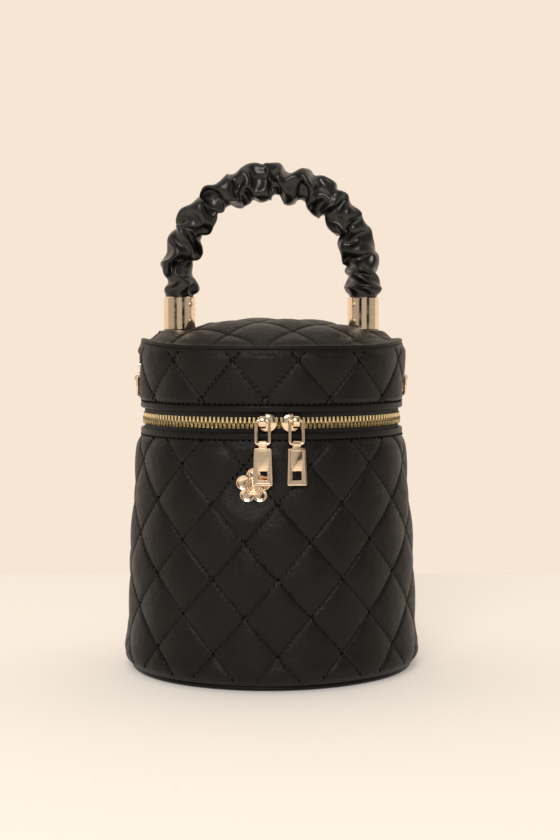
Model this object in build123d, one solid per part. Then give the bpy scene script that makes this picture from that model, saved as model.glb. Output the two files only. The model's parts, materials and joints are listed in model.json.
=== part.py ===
"""Quilted bucket bag with a zip-round flip lid and a ruched arch handle.

Millimetres. +X runs along the long axis of the oval, -Y is the front, +Z is up, and the origin is the
centre of the base, on the surface that the bag stands on. Every layer of the wall is an offset of one
four-centre oval, the outline of the mouth, so that layers nest and the zip runs at a constant depth.
"""
from build123d import *
from math import asin, atan2, cos, degrees, radians, sin
import os

# ---- outline of the mouth: four tangent arcs ----
HALF_WIDTH = 77.5           # half of the long axis, at the mouth
HALF_DEPTH = 64.5           # half of the short axis, at the mouth
ROUNDNESS = 0.988           # front radius as a share of an ellipse's radius at the end of its short axis

# ---- heights ----
BODY_TOP = 143.0            # top edge of the body
ZIP_TO_EDGE = 6.0           # from the middle of the zip to the body's edge and to the lid's
BAND_HEIGHT = 35.0          # from the lid's lower edge to the seam with its top
DOME_RISE = 17.0            # how far the padded top stands above its board
HEM_DEPTH = 10.0            # how far the zip tape is sewn in behind an edge
BINDING = 3.0               # height of the folded edge binding

# ---- how the body widens towards its base ----
FLARE = 10.0                # at the widest level, beyond the mouth
WIDEST_Z = 11.0             # the widest level
FOOT_Z = 3.4                # lower edge of the wall
FOOT_TUCK = 3.0             # how far the wall tucks in below the widest level

# ---- thicknesses of the layers ----
LEATHER = 2.4               # quilted leather with its foam
TAPE = 0.8                  # zip tape
BOARD = 1.6                 # stiffening board
LINING = 0.8
BASE_BOARD = 2.4
TOP_BOARD = 2.0
TOP_FOAM = 3.7              # soft sheet between the lid's board and its lining
TOP_SKIN = 1.6              # leather over the padded top
PIPING_R = 1.5
FIT = 0.05                  # radial clearance of a fixed shank in its hole

# ---- zip ----
TOOTH_PITCH = 2.5
TOOTH_WIDTH = 1.3
TOOTH_THICK = 2.4
CHAIN_HALF = 3.0            # half of the chain's height
CHAIN_GAP = 0.45            # from the middle of the chain to the head of a tooth
TAPE_TO_TOOTH = 1.2         # from the middle of the chain to the edge of the tape
STOP_LENGTH = 3.0
HINGE_HALF = 24.0           # half width of the leather hinge at the back
TAPE_END = 25.0             # x where the tapes stop, beside the hinge
CHAIN_END = 31.0            # x where the teeth stop, at the back
HINGE_GAP = 0.8             # from the hinge line to each half of the leather hinge

# ---- sliders and pulls ----
SLIDER_REST = 6.35          # arc distance of each slider from the front centre
SLIDER_R = 5.4
SLIDER_PLATE = 1.1
SLIDER_GAP = 0.25           # outer plate to the teeth
INNER_PLATE_R = 4.5
INNER_PLATE = 0.8
INNER_GAP = 0.4             # inner plate to the teeth
WEB_HALF = 0.2              # half thickness of the web between the plates
CROWN_SHIFT = 2.7           # the crown stands this far from the slider's middle
CROWN_WIDTH = 3.6
CROWN_HALF = 3.2
CROWN_REACH = 4.9           # from the wall's surface
WIRE_R = 0.9                # wire of the pull links
WIRE_FIT = 0.06             # running clearance round a wire
LINK_OUT = 3.3              # link's axis from the wall's surface
LINK_UP = 1.5               # link's axis above the middle of the zip
LINK_HALF = 3.65            # half the distance between the link's legs
LINK_LENGTH = 13.0
PULL_TILT = 4.5             # degrees that link and tab lean away from the wall
TAB_NECK = 4.2
TAB_EYE_R = 1.9
TAB_THICK = 1.4
TAB_TOP = 2.6               # eye to the shoulder of the tab
TAB_LENGTH = 20.0
TAB_TOP_WIDTH = 9.1
TAB_END_WIDTH = 10.4
TAB_WINDOW = 5.4
TAB_WINDOW_UP = 5.2         # middle of the window from the end of the tab

# ---- handle ----
FERRULE_INSET = 22.5        # from the end of the oval to a ferrule's axis
FERRULE_R = 9.4
FERRULE_HEIGHT = 19.5
FERRULE_UP = 11.0           # from the lid's board to where the ferrules stand
FERRULE_FLOOR = 6.5
CORE_R = 6.0
SLEEVE_R = 11.0
SLEEVE_LEG = 13.0           # straight part of the sleeve above a ferrule
BOLT_R = 2.5
BOLT_HEAD_R = 4.5
BOLT_HEAD = 2.4
BOLT_BITE = 5.0
WASHER_R = 8.0
WASHER = 1.2
SCREW_R = 0.9
SCREW_HEAD_R = 1.3
SCREW_TIP = 3.0             # radius, from the ferrule's axis, where a screw ends
SCREW_TURN = 45.0           # degrees from the front towards the middle of the bag
SCREW_LEVELS = (0.28, 0.78) # of the ferrule's height

# ---- side hangers and rings ----
HANGER_UP = 17.0            # from the lid's edge to the axis of the knuckle
HANGER_HALF = 4.2
HANGER_BELOW = 2.0
HANGER_ABOVE = 10.0
HANGER_PLATE = 1.2
KNUCKLE_R = 2.0
KNUCKLE_HALF = 3.0
KNUCKLE_OUT = 1.1           # knuckle's axis from the plate's outer face
RING_WIRE_R = 1.0
RING_FIT = 0.08
RING_HALF = 5.5
RING_LEG = 4.5
RIVET_R = 0.8
RIVET_HEAD_R = 1.2
RIVET_HEAD = 0.7
RIVET_TAIL_R = 2.0
RIVET_STEPS = (4.0, 8.0)    # above the knuckle's axis

# ---- ornament ----
FLOWER_X = -14.0            # arc distance from the front centre
FLOWER_DOWN = 29.5          # from the body's top edge
PETALS = 5
PETAL_R = 4.1
PETAL_OUT = 5.9
PETAL_THICK = 1.2
FLOWER_RIVET_R = 1.0
FLOWER_TAIL_R = 2.5

# ---- worked out from the sizes above ----
FRONT_RADIUS = ROUNDNESS * HALF_WIDTH**2 / HALF_DEPTH
FRONT_CENTRE = FRONT_RADIUS - HALF_DEPTH
SIDE_RADIUS = (FRONT_RADIUS**2 - HALF_WIDTH**2 - FRONT_CENTRE**2) / (2 * (FRONT_RADIUS - HALF_WIDTH))
SIDE_CENTRE = HALF_WIDTH - SIDE_RADIUS
JOIN = degrees(atan2(SIDE_CENTRE, FRONT_CENTRE))
SKIN = LEATHER - TAPE       # leather outside the zip tape
MID_TAPE = SKIN + TAPE / 2
ZIP_Z = BODY_TOP + ZIP_TO_EDGE
LID_BOTTOM = ZIP_Z + ZIP_TO_EDGE
LID_SEAM = LID_BOTTOM + BAND_HEIGHT
HEM_Z = BODY_TOP - HEM_DEPTH
LID_HEM_Z = LID_BOTTOM + HEM_DEPTH
TOP_BOARD_Z = LID_SEAM - 0.5 - TOP_BOARD
DOME_Z = TOP_BOARD_Z + TOP_BOARD
TOP_LINING_Z = TOP_BOARD_Z - TOP_FOAM - LINING
FERRULE_X = HALF_WIDTH - FERRULE_INSET
FERRULE_SEAT = DOME_Z + FERRULE_UP
DOME_EDGE = max(2 * PIPING_R, LEATHER + 0.6) - 0.3
ARCH_SPRING = FERRULE_SEAT + FERRULE_HEIGHT + SLEEVE_LEG
HANGER_Z = LID_BOTTOM + HANGER_UP
FLOWER_Z = BODY_TOP - FLOWER_DOWN
BOARD_IN = LEATHER + BOARD
LINING_IN = BOARD_IN + LINING
BIG = 4 * HALF_WIDTH


def oval(offset, z=0.0):
    """The mouth's outline moved outwards by offset, as a face at height z."""
    front = FRONT_RADIUS + offset
    side = SIDE_RADIUS + offset
    join_x = SIDE_CENTRE + side * sin(radians(JOIN))
    join_y = side * cos(radians(JOIN))
    end_x = SIDE_CENTRE + side
    end_y = front - FRONT_CENTRE
    arcs = [
        ThreePointArc((-join_x, -join_y), (0, -end_y), (join_x, -join_y)),
        ThreePointArc((join_x, -join_y), (end_x, 0), (join_x, join_y)),
        ThreePointArc((join_x, join_y), (0, end_y), (-join_x, join_y)),
        ThreePointArc((-join_x, join_y), (-end_x, 0), (-join_x, -join_y)),
    ]
    return Pos(0, 0, z) * Face(Wire(arcs))


def prism(offset, low, high):
    """A straight oval block."""
    return extrude(oval(offset, low), high - low, dir=(0, 0, 1))


def band(outer, inner, low, high):
    """A straight oval ring between two offsets."""
    return prism(outer, low, high) - prism(inner, low, high)


def flare(z):
    """Offset of the body's outer surface at height z."""
    if z >= HEM_Z:
        return 0.0
    if z >= WIDEST_Z:
        return FLARE * (HEM_Z - z) / (HEM_Z - WIDEST_Z)
    return FLARE - FOOT_TUCK * (WIDEST_Z - z) / (WIDEST_Z - FOOT_Z)


def body_block(inset, low, high):
    """A block that follows the body's outer surface, moved inwards by inset."""
    levels = [low] + [z for z in (WIDEST_Z, HEM_Z) if low < z < high] + [high]
    return loft([oval(flare(z) - inset, z) for z in levels], ruled=True)


def body_layer(outer, inner, low, high):
    """One layer of the body's wall, between two insets."""
    return body_block(outer, low, high) - body_block(inner, low, high)


def on_front(arc, radius, z, tilt=0.0):
    """A place on the front wall, its -Y pointing out, at an arc distance from the front centre."""
    turn = degrees(arc / FRONT_RADIUS)
    return Pos(0, FRONT_CENTRE, 0) * Rot(0, 0, turn) * Pos(0, -radius, z) * Rot(tilt, 0, 0)


def round_outline(distance, inset, z):
    """A place along the mouth's outline, its -Y pointing out, at a distance from the front centre."""
    front = FRONT_RADIUS - inset
    side = SIDE_RADIUS - inset
    join = radians(JOIN)
    front_length = front * join
    side_length = side * (radians(180) - 2 * join)
    run = abs(distance)
    if run < front_length:
        turn, x, y, radius = run / front, 0, FRONT_CENTRE, front
    elif run < front_length + side_length:
        turn, x, y, radius = join + (run - front_length) / side, SIDE_CENTRE, 0, side
    else:
        turn = radians(180) - join + (run - front_length - side_length) / front
        x, y, radius = 0, -FRONT_CENTRE, front
    sign = 1 if distance >= 0 else -1
    place = ((x + radius * sin(turn)) * sign, y - radius * cos(turn), z)
    return Location(place, (0, 0, sign * degrees(turn)))


def outline_length(inset, back_x):
    """Distance along the outline from the front centre to where it passes back_x at the back."""
    front = FRONT_RADIUS - inset
    side = SIDE_RADIUS - inset
    join = radians(JOIN)
    return front * join + side * (radians(180) - 2 * join) + front * (join - asin(back_x / front))


def rod(radius, length, direction="z"):
    """A cylinder along an axis, starting at the origin."""
    bar = Cylinder(radius, length, align=(Align.CENTER, Align.CENTER, Align.MIN))
    turns = {"z": (0, 0), "x": (0, 90), "-x": (0, -90), "y": (-90, 0), "-y": (90, 0)}
    return Rot(*turns[direction], 0) * bar


def group(solids):
    """Separate solids in one node."""
    return Compound(children=[solid if isinstance(solid, Solid) else solid.solid() for solid in solids])


# ---- fastenings, whose holes are cut from the same sizes ----
def hanger_rivet_places():
    """Where the rivets of both side hangers stand, on the band's outer surface."""
    return [(side, HANGER_Z + step) for side in (-1, 1) for step in RIVET_STEPS]


def hanger_rivet_holes(radius):
    """Cylinders through the lid's band at each hanger rivet."""
    reach = LINING_IN + HANGER_PLATE + 2
    holes = []
    for side, z in hanger_rivet_places():
        bar = rod(radius, reach, "x" if side > 0 else "-x")
        holes.append(Pos(side * (HALF_WIDTH - LINING_IN - 1), 0, z) * bar)
    return holes


def flower_place(inset=0.0):
    """The seat of the ornament, parallel to the sloping wall."""
    slope = degrees(atan2(FLARE, HEM_Z - WIDEST_Z))
    return on_front(FLOWER_X, FRONT_RADIUS + flare(FLOWER_Z), FLOWER_Z, -slope) * Pos(0, inset, 0)


def flower_hole(radius, length):
    return flower_place(-1) * rod(radius, length + 1, "y")


def handle_bores(radius, low, high):
    """Cylinders on the ferrules' axes between two heights."""
    return [Pos(side * FERRULE_X, 0, low) * rod(radius, high - low) for side in (-1, 1)]


def screw_places(side):
    """The places of one ferrule's screws on its axis, their -Y pointing along the screw."""
    heights = [FERRULE_SEAT + level * FERRULE_HEIGHT for level in SCREW_LEVELS]
    return [Pos(side * FERRULE_X, 0, z) * Rot(0, 0, -side * SCREW_TURN) for z in heights]


def cut(shape, tools):
    for tool in tools:
        shape = shape - tool
    return shape


# ---- body ----
def body_leather():
    wall = body_layer(0, LEATHER, FOOT_Z, BODY_TOP - BINDING)
    hem = band(-SKIN, -LEATHER - 1, HEM_Z, BODY_TOP)
    return cut(wall, [hem, flower_hole(FLOWER_RIVET_R + FIT, LEATHER + 1)])


def body_board():
    wall = body_layer(LEATHER, BOARD_IN, FOOT_Z, BODY_TOP - 1)
    return wall - flower_hole(FLOWER_RIVET_R + FIT, BOARD_IN + 1)


def body_lining():
    wall = body_layer(BOARD_IN, LINING_IN, FOOT_Z + BASE_BOARD, BODY_TOP - 1)
    return wall - flower_hole(FLOWER_TAIL_R + FIT, LINING_IN + 1)


def body_rim_binding():
    return band(0, -SKIN, BODY_TOP - BINDING, BODY_TOP)


def base_leather():
    return prism(FLARE - FOOT_TUCK - 2 * PIPING_R, 0, FOOT_Z)


def base_board():
    return body_block(BOARD_IN, FOOT_Z, FOOT_Z + BASE_BOARD)


def base_lining():
    return body_block(LINING_IN, FOOT_Z + BASE_BOARD, FOOT_Z + BASE_BOARD + LINING)


def piping(offset, z):
    """A round cord that runs round the oval."""
    path = oval(offset, z).outer_wire()
    start = Plane(origin=path @ 0, z_dir=path % 0)
    return sweep(start * Circle(PIPING_R), path=path)


def base_piping():
    return piping(FLARE - FOOT_TUCK - PIPING_R, FOOT_Z - PIPING_R)


# ---- zip ----
def behind_edges(low, high):
    """The ring that holds the zip tape and the leather hinge."""
    return band(-SKIN, -LEATHER, low, high)


def back_zone(half):
    return Pos(0, HALF_DEPTH, ZIP_Z) * Box(2 * half, HALF_DEPTH, BIG)


def zip_tape(side):
    edges = sorted((HEM_Z if side < 0 else LID_HEM_Z, ZIP_Z + side * TAPE_TO_TOOTH))
    return behind_edges(*edges) - back_zone(TAPE_END)


def hinge_strip(side):
    edges = sorted((HEM_Z if side < 0 else LID_HEM_Z, ZIP_Z + side * HINGE_GAP))
    return behind_edges(*edges) & back_zone(HINGE_HALF)


def clamp(side, length, fit):
    """A block clamped on the edge of a tape, its slot wider than the tape by fit."""
    height = CHAIN_HALF - CHAIN_GAP
    block = Pos(0, 0, side * (CHAIN_GAP + height / 2)) * Box(length, TOOTH_THICK, height)
    slot_height = CHAIN_HALF - TAPE_TO_TOOTH
    slot = Pos(0, 0, side * (TAPE_TO_TOOTH + slot_height / 2)) * Box(2 * length, TAPE + fit, slot_height)
    return (block - slot).solid()


def zip_teeth(side):
    """Teeth from the front centre round both sides, the upper ones half a pitch from the lower ones."""
    half = outline_length(MID_TAPE, CHAIN_END)
    count = int(half / TOOTH_PITCH)
    shift = 0.0 if side < 0 else TOOTH_PITCH / 2
    one = clamp(side, TOOTH_WIDTH, FIT)
    places = [step * TOOTH_PITCH + shift for step in range(-count, count)]
    return group([round_outline(place, MID_TAPE, ZIP_Z) * one for place in places])


def zip_stops(side):
    """The crimped stop at each end of a row of teeth."""
    distance = outline_length(MID_TAPE, CHAIN_END) + STOP_LENGTH
    stop = clamp(side, STOP_LENGTH, 2 * FIT)
    return group([round_outline(sign * distance, MID_TAPE, ZIP_Z) * stop for sign in (-1, 1)])


# ---- sliders and pulls, drawn at the front centre and turned to their places ----
def slider_place(side):
    return on_front(side * SLIDER_REST, FRONT_RADIUS, ZIP_Z)


def slider(side):
    """Outer plate with its crown, inner plate, and the thin web that joins them at the nose."""
    face = MID_TAPE - TOOTH_THICK / 2 - SLIDER_GAP
    back = MID_TAPE + TOOTH_THICK / 2 + INNER_GAP
    outer = Pos(0, face, 0) * rod(SLIDER_R, SLIDER_PLATE, "-y")
    inner = Pos(0, back, 0) * rod(INNER_PLATE_R, INNER_PLATE, "y")
    web_length = INNER_PLATE_R - 1.5
    web_x = -side * (INNER_PLATE_R - 0.5 - web_length / 2)
    web_low = face - SLIDER_PLATE / 2
    web_depth = back + INNER_PLATE / 2 - web_low
    web = Pos(web_x, web_low + web_depth / 2, 0) * Box(web_length, web_depth, 2 * WEB_HALF)
    foot = face - SLIDER_PLATE / 2
    crown_depth = foot + CROWN_REACH
    crown = Pos(side * CROWN_SHIFT, foot - crown_depth / 2, 0) * Box(CROWN_WIDTH, crown_depth, 2 * CROWN_HALF)
    crown = fillet(crown.edges().filter_by(Axis.X).group_by(Axis.Y)[0], 1.2)
    bore = Pos(side * CROWN_SHIFT - CROWN_WIDTH, -LINK_OUT, LINK_UP) * rod(WIRE_R + WIRE_FIT, 2 * CROWN_WIDTH, "x")
    return slider_place(side) * (outer + inner + web + crown - bore)


def link_place(side):
    """The link's axis in the crown, with the pull's lean: -Z runs down the pull."""
    return slider_place(side) * Pos(side * CROWN_SHIFT, -LINK_OUT, LINK_UP) * Rot(-PULL_TILT, 0, 0)


def pull_link(side):
    """A closed wire loop through the crown and the tab's eye."""
    bar = Pos(-LINK_HALF, 0, 0) * rod(WIRE_R, 2 * LINK_HALF, "x")
    loop = bar + Pos(0, 0, -LINK_LENGTH) * bar
    for end in (-1, 1):
        loop += Pos(end * LINK_HALF, 0, -LINK_LENGTH) * rod(WIRE_R, LINK_LENGTH)
        loop += Pos(end * LINK_HALF, 0, 0) * Sphere(WIRE_R)
        loop += Pos(end * LINK_HALF, 0, -LINK_LENGTH) * Sphere(WIRE_R)
    return link_place(side) * loop


def pull_tab(side):
    """A flat tapered tab with a square window, hung on the link by a rolled eye."""
    end = -TAB_TOP - TAB_LENGTH
    outline = Polyline(
        (-TAB_TOP_WIDTH / 2, -TAB_TOP), (TAB_TOP_WIDTH / 2, -TAB_TOP),
        (TAB_END_WIDTH / 2, end), (-TAB_END_WIDTH / 2, end), close=True)
    face = Plane.XZ * make_face(outline)
    plate = extrude(face, TAB_THICK / 2, both=True)
    plate = fillet(plate.edges().filter_by(Axis.Y), 0.8)
    window = Pos(0, 0, end + TAB_WINDOW_UP) * Box(TAB_WINDOW, 2 * TAB_THICK, TAB_WINDOW)
    neck = Pos(0, 0, -(TAB_TOP + 1) / 2) * Box(TAB_NECK, TAB_THICK, TAB_TOP + 1)
    eye = Pos(-TAB_NECK / 2, 0, 0) * rod(TAB_EYE_R, TAB_NECK, "x")
    bore = Pos(-TAB_NECK, 0, 0) * rod(WIRE_R + WIRE_FIT, 2 * TAB_NECK, "x")
    tab = plate - window + neck + eye - bore
    return link_place(side) * Pos(0, 0, -LINK_LENGTH) * tab


# ---- ornament ----
def flower_ornament():
    """A generic five-petal rosette with a stepped centre and a ball."""
    turned = [Rot(0, 0, 90 + 360 * petal / PETALS) for petal in range(PETALS)]
    lower = Circle(PETAL_OUT)
    upper = Circle(PETAL_OUT - 1.4)
    for turn in turned:
        lower += turn * Pos(PETAL_OUT, 0) * Circle(PETAL_R)
        upper += turn * Pos(PETAL_OUT - 1.4, 0) * Circle(PETAL_R - 1.7)
    rosette = extrude(lower, PETAL_THICK) + Pos(0, 0, PETAL_THICK) * extrude(upper, 0.6)
    rosette += rod(3.4, PETAL_THICK + 1.1)
    rosette += rod(2.2, PETAL_THICK + 1.5)
    rosette += Pos(0, 0, PETAL_THICK + 1.1) * Sphere(1.3)
    rosette -= rod(FLOWER_RIVET_R + FIT, PETAL_THICK)
    return flower_place() * Rot(90, 0, 0) * rosette


def flower_rivet():
    shank = Pos(0, -PETAL_THICK, 0) * rod(FLOWER_RIVET_R, PETAL_THICK + LINING_IN, "y")
    tail = Pos(0, BOARD_IN + 0.1, 0) * rod(FLOWER_TAIL_R, LINING - 0.1, "y")
    return flower_place() * (shank + tail)


# ---- lid ----
def lid_band_leather():
    wall = band(0, -LEATHER, LID_BOTTOM + BINDING, LID_SEAM)
    hem = band(-SKIN, -LEATHER - 1, LID_BOTTOM, LID_HEM_Z)
    return cut(wall, [hem] + hanger_rivet_holes(RIVET_R + FIT))


def lid_band_board():
    wall = band(-LEATHER, -BOARD_IN, LID_BOTTOM + 1, TOP_BOARD_Z)
    return cut(wall, hanger_rivet_holes(RIVET_R + FIT))


def lid_band_lining():
    wall = band(-BOARD_IN, -LINING_IN, LID_BOTTOM + 1, TOP_LINING_Z + LINING)
    return cut(wall, hanger_rivet_holes(RIVET_TAIL_R + FIT))


def lid_rim_binding():
    return band(0, -SKIN, LID_BOTTOM, LID_BOTTOM + BINDING)


def lid_piping():
    return piping(0.3 - PIPING_R, LID_SEAM + PIPING_R)


def lid_top_board():
    return cut(prism(-LEATHER, TOP_BOARD_Z, DOME_Z), handle_bores(BOLT_R + FIT, TOP_BOARD_Z, DOME_Z))


def lid_top_foam():
    sheet = prism(-BOARD_IN, TOP_LINING_Z + LINING, TOP_BOARD_Z)
    return cut(sheet, handle_bores(WASHER_R + FIT, TOP_LINING_Z + LINING, TOP_BOARD_Z))


def lid_top_lining():
    return prism(-LINING_IN, TOP_LINING_Z, TOP_LINING_Z + LINING)


def dome(sink):
    """The crowned top, sunk by sink, over the lid's board."""
    reach = SIDE_RADIUS - DOME_EDGE
    shares = (0.0, 0.14, 0.32, 0.54, 0.78)
    sections = []
    for share in shares:
        rise = DOME_RISE * (1 - (1 - share)**2)
        sections.append(oval(-DOME_EDGE - share * reach - sink, DOME_Z + rise - sink * (share > 0)))
    return loft(sections, ruled=True)


def lid_top_pad():
    bolts = handle_bores(BOLT_R + FIT, DOME_Z, FERRULE_SEAT)
    seats = handle_bores(FERRULE_R + FIT, FERRULE_SEAT - TOP_SKIN, FERRULE_SEAT + FERRULE_HEIGHT)
    return cut(dome(TOP_SKIN), bolts + seats)


def lid_top_leather():
    bolts = handle_bores(BOLT_R + FIT, DOME_Z, FERRULE_SEAT)
    seats = handle_bores(FERRULE_R + FIT, FERRULE_SEAT, FERRULE_SEAT + FERRULE_HEIGHT)
    floors = handle_bores(FERRULE_R + FIT, FERRULE_SEAT - TOP_SKIN, FERRULE_SEAT)
    skin = dome(0) - dome(TOP_SKIN)
    for floor in floors:
        skin += floor & dome(0)
    return cut(skin, bolts + seats)


# ---- handle ----
def arch_path():
    start = FERRULE_SEAT + FERRULE_FLOOR
    lines = [
        Line((-FERRULE_X, 0, start), (-FERRULE_X, 0, ARCH_SPRING)),
        ThreePointArc((-FERRULE_X, 0, ARCH_SPRING), (0, 0, ARCH_SPRING + FERRULE_X), (FERRULE_X, 0, ARCH_SPRING)),
        Line((FERRULE_X, 0, ARCH_SPRING), (FERRULE_X, 0, start)),
    ]
    return Wire(lines)


def arch(radius, start_z):
    """A round bar along the handle's arch, from start_z up."""
    path = arch_path()
    bar = sweep(Plane(origin=path @ 0, z_dir=path % 0) * Circle(radius), path=path)
    below = Pos(0, 0, start_z) * Box(BIG, BIG, BIG, align=(Align.CENTER, Align.CENTER, Align.MAX))
    return bar - below


def handle_core():
    start = FERRULE_SEAT + FERRULE_FLOOR
    bar = arch(CORE_R - FIT, start)
    holes = [place * rod(SCREW_R + FIT, FERRULE_R, "-y") for side in (-1, 1) for place in screw_places(side)]
    return cut(bar, holes)


def handle_sleeve():
    start = FERRULE_SEAT + FERRULE_HEIGHT
    return arch(SLEEVE_R, start) - arch(CORE_R, start - 1)


def ferrule(side):
    """A turned cup that holds the end of the handle and takes a bolt from below."""
    place = Pos(side * FERRULE_X, 0, FERRULE_SEAT)
    cup = chamfer(rod(FERRULE_R, FERRULE_HEIGHT).edges(), 0.5)
    cup -= Pos(0, 0, FERRULE_FLOOR) * rod(CORE_R, FERRULE_HEIGHT)
    cup -= rod(BOLT_R + FIT, BOLT_BITE + FIT)
    cup = place * cup
    for spot in screw_places(side):
        hole = spot * rod(SCREW_R + FIT, 2 * FERRULE_R, "-y")
        seat = spot * Pos(0, -(FERRULE_R - 0.2), 0) * rod(SCREW_HEAD_R + FIT, 2, "-y")
        cup = cup - hole - seat
    return cup


def ferrule_screws():
    shank = Pos(0, -SCREW_TIP, 0) * rod(SCREW_R, FERRULE_R - SCREW_TIP, "-y")
    head = Pos(0, -(FERRULE_R - 0.2), 0) * rod(SCREW_HEAD_R, 0.9, "-y")
    head = fillet(head.edges().group_by(Axis.Y)[0], 0.4)
    return group([place * (shank + head) for side in (-1, 1) for place in screw_places(side)])


def handle_bolts():
    """Pan-head bolts from under the lid's board up into the ferrules."""
    low = TOP_BOARD_Z - WASHER - BOLT_HEAD
    head = rod(BOLT_HEAD_R, BOLT_HEAD)
    shank = rod(BOLT_R, FERRULE_SEAT + BOLT_BITE - low)
    return group([Pos(side * FERRULE_X, 0, low) * (head + shank) for side in (-1, 1)])


def handle_washers():
    washer = rod(WASHER_R, WASHER) - rod(BOLT_R + FIT, WASHER)
    return group([Pos(side * FERRULE_X, 0, TOP_BOARD_Z - WASHER) * washer for side in (-1, 1)])


# ---- side hangers and rings ----
def hanger_axis():
    return HALF_WIDTH + HANGER_PLATE + KNUCKLE_OUT


def hanger(side):
    """A riveted plate with a knuckle that carries the ring."""
    height = HANGER_ABOVE + HANGER_BELOW
    middle = HANGER_Z + (HANGER_ABOVE - HANGER_BELOW) / 2
    plate = Box(HANGER_PLATE, 2 * HANGER_HALF, height)
    plate = fillet(plate.edges().filter_by(Axis.X), 2.5)
    body = Pos(HALF_WIDTH + HANGER_PLATE / 2, 0, middle) * plate
    axis = Pos(hanger_axis(), 0, HANGER_Z)
    body += axis * Pos(0, -KNUCKLE_HALF, 0) * rod(KNUCKLE_R, 2 * KNUCKLE_HALF, "y")
    body -= axis * Pos(0, -2 * KNUCKLE_HALF, 0) * rod(RING_WIRE_R + RING_FIT, 4 * KNUCKLE_HALF, "y")
    for step in RIVET_STEPS:
        body -= Pos(HALF_WIDTH - 1, 0, HANGER_Z + step) * rod(RIVET_R + FIT, HANGER_PLATE + 2, "x")
    inside = Pos(HALF_WIDTH, 0, HANGER_Z) * Box(BIG, BIG, BIG, align=(Align.MAX, Align.CENTER, Align.CENTER))
    body -= inside
    return body if side > 0 else mirror(body, Plane.YZ)


def hanger_rivets():
    rivets = []
    for side, z in hanger_rivet_places():
        shank = Pos(HALF_WIDTH - LINING_IN, 0, z) * rod(RIVET_R, LINING_IN + HANGER_PLATE + 0.1, "x")
        head = Pos(HALF_WIDTH + HANGER_PLATE, 0, z) * rod(RIVET_HEAD_R, RIVET_HEAD, "x")
        tail = Pos(HALF_WIDTH - LINING_IN, 0, z) * rod(RIVET_TAIL_R, LINING - 0.1, "x")
        rivet = shank + head + tail
        rivets.append(rivet if side > 0 else mirror(rivet, Plane.YZ))
    return group(rivets)


def d_ring(side):
    """A closed wire D that hangs from its knuckle."""
    bar = Pos(0, -RING_HALF, 0) * rod(RING_WIRE_R, 2 * RING_HALF, "y")
    ring = bar
    for end in (-1, 1):
        ring += Pos(0, end * RING_HALF, -RING_LEG) * rod(RING_WIRE_R, RING_LEG)
        ring += Pos(0, end * RING_HALF, 0) * Sphere(RING_WIRE_R)
    bow = ThreePointArc((0, RING_HALF, -RING_LEG), (0, 0, -RING_LEG - RING_HALF), (0, -RING_HALF, -RING_LEG))
    ring += sweep(Plane(origin=bow @ 0, z_dir=bow % 0) * Circle(RING_WIRE_R), path=bow)
    return Pos(side * hanger_axis(), 0, HANGER_Z) * ring


NODES = {
    "body_leather": body_leather,
    "body_board": body_board,
    "body_lining": body_lining,
    "body_rim_binding": body_rim_binding,
    "base_leather": base_leather,
    "base_board": base_board,
    "base_lining": base_lining,
    "base_piping": base_piping,
    "zip_tape_lower": lambda: zip_tape(-1),
    "zip_teeth_lower": lambda: zip_teeth(-1),
    "zip_stops_lower": lambda: zip_stops(-1),
    "hinge_strip_lower": lambda: hinge_strip(-1),
    "flower_ornament": flower_ornament,
    "flower_rivet": flower_rivet,
    "lid_band_leather": lid_band_leather,
    "lid_band_board": lid_band_board,
    "lid_band_lining": lid_band_lining,
    "lid_rim_binding": lid_rim_binding,
    "lid_piping": lid_piping,
    "lid_top_leather": lid_top_leather,
    "lid_top_pad": lid_top_pad,
    "lid_top_board": lid_top_board,
    "lid_top_foam": lid_top_foam,
    "lid_top_lining": lid_top_lining,
    "zip_tape_upper": lambda: zip_tape(1),
    "zip_teeth_upper": lambda: zip_teeth(1),
    "zip_stops_upper": lambda: zip_stops(1),
    "hinge_strip_upper": lambda: hinge_strip(1),
    "ferrule_left": lambda: ferrule(-1),
    "ferrule_right": lambda: ferrule(1),
    "ferrule_screws": ferrule_screws,
    "handle_bolts": handle_bolts,
    "handle_washers": handle_washers,
    "handle_core": handle_core,
    "handle_sleeve": handle_sleeve,
    "hanger_left": lambda: hanger(-1),
    "hanger_right": lambda: hanger(1),
    "hanger_rivets": hanger_rivets,
    "d_ring_left": lambda: d_ring(-1),
    "d_ring_right": lambda: d_ring(1),
    "slider_left": lambda: slider(-1),
    "slider_right": lambda: slider(1),
    "pull_link_left": lambda: pull_link(-1),
    "pull_link_right": lambda: pull_link(1),
    "pull_tab_left": lambda: pull_tab(-1),
    "pull_tab_right": lambda: pull_tab(1),
}

os.makedirs("parts", exist_ok=True)
for name, make in NODES.items():
    export_step(make(), f"parts/{name}.step")
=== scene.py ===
"""Looks of the quilted bucket bag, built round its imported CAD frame.

Lengths are in millimetres, except for the places and sizes of the lights.
"""
import json
import math
import bpy
import bmesh
import numpy as np
from mathutils import Matrix, Vector


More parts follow.
